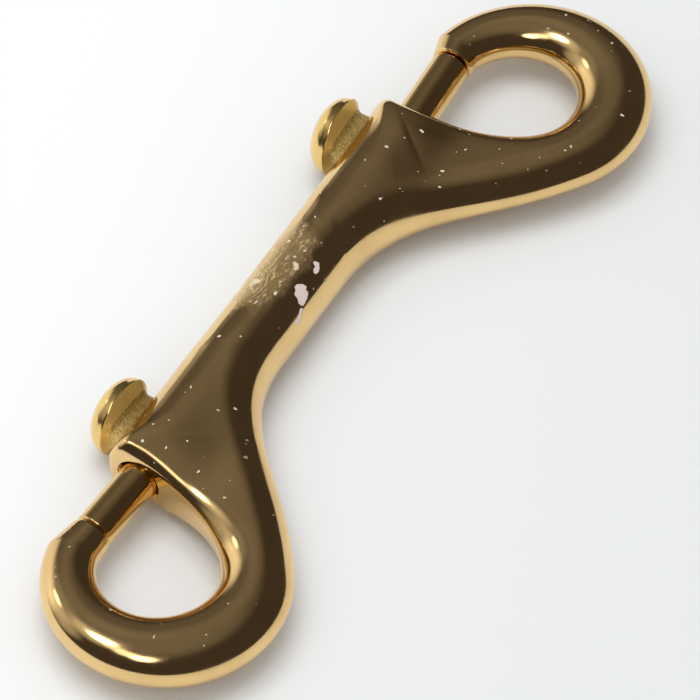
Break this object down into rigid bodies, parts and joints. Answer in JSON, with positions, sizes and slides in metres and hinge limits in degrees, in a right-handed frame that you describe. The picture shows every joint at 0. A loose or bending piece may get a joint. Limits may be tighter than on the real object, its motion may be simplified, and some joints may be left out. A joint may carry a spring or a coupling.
{
  "type": "double-ended chain snap",
  "caption": "Cast brass snap with a hook and eye at each end, each closed by a sprung sliding bolt with a mushroom-shaped thumb piece.",
  "frame": {"origin": "middle of the snap's overall box: half-way along the stem, on the mid-plane of the casting, half-way between the bottom of the hooks and the top of the thumb pieces", "axes": "+X along the stem towards end a, -Y towards the hooks, +Y towards the thumb pieces, +Z across the thickness"},
  "size_m": [0.114, 0.0345, 0.0098],
  "materials": {
    "body": "polished",
    "bolt": "polished",
    "thumb": "polished",
    "spring": "drawn wire"
  },
  "bodies": {
    "casting": {"body": "body", "spring_a": "spring", "spring_b": "spring"},
    "plunger_a": {"bolt_a": "bolt", "thumb_a": "thumb"},
    "plunger_b": {"bolt_b": "bolt", "thumb_b": "thumb"}
  },
  "joints": [
    {"name": "bolt_a_slide", "type": "slide", "parent": "casting", "child": "plunger_a", "axis": [-0.9986, -0.0523, 0], "range_m": [0, 0.01], "stiffness_N_per_m": 400, "deforming": ["spring_a"]},
    {"name": "bolt_b_slide", "type": "slide", "parent": "casting", "child": "plunger_b", "axis": [0.9986, -0.0523, 0], "range_m": [0, 0.01], "stiffness_N_per_m": 400, "deforming": ["spring_b"]}
  ]
}
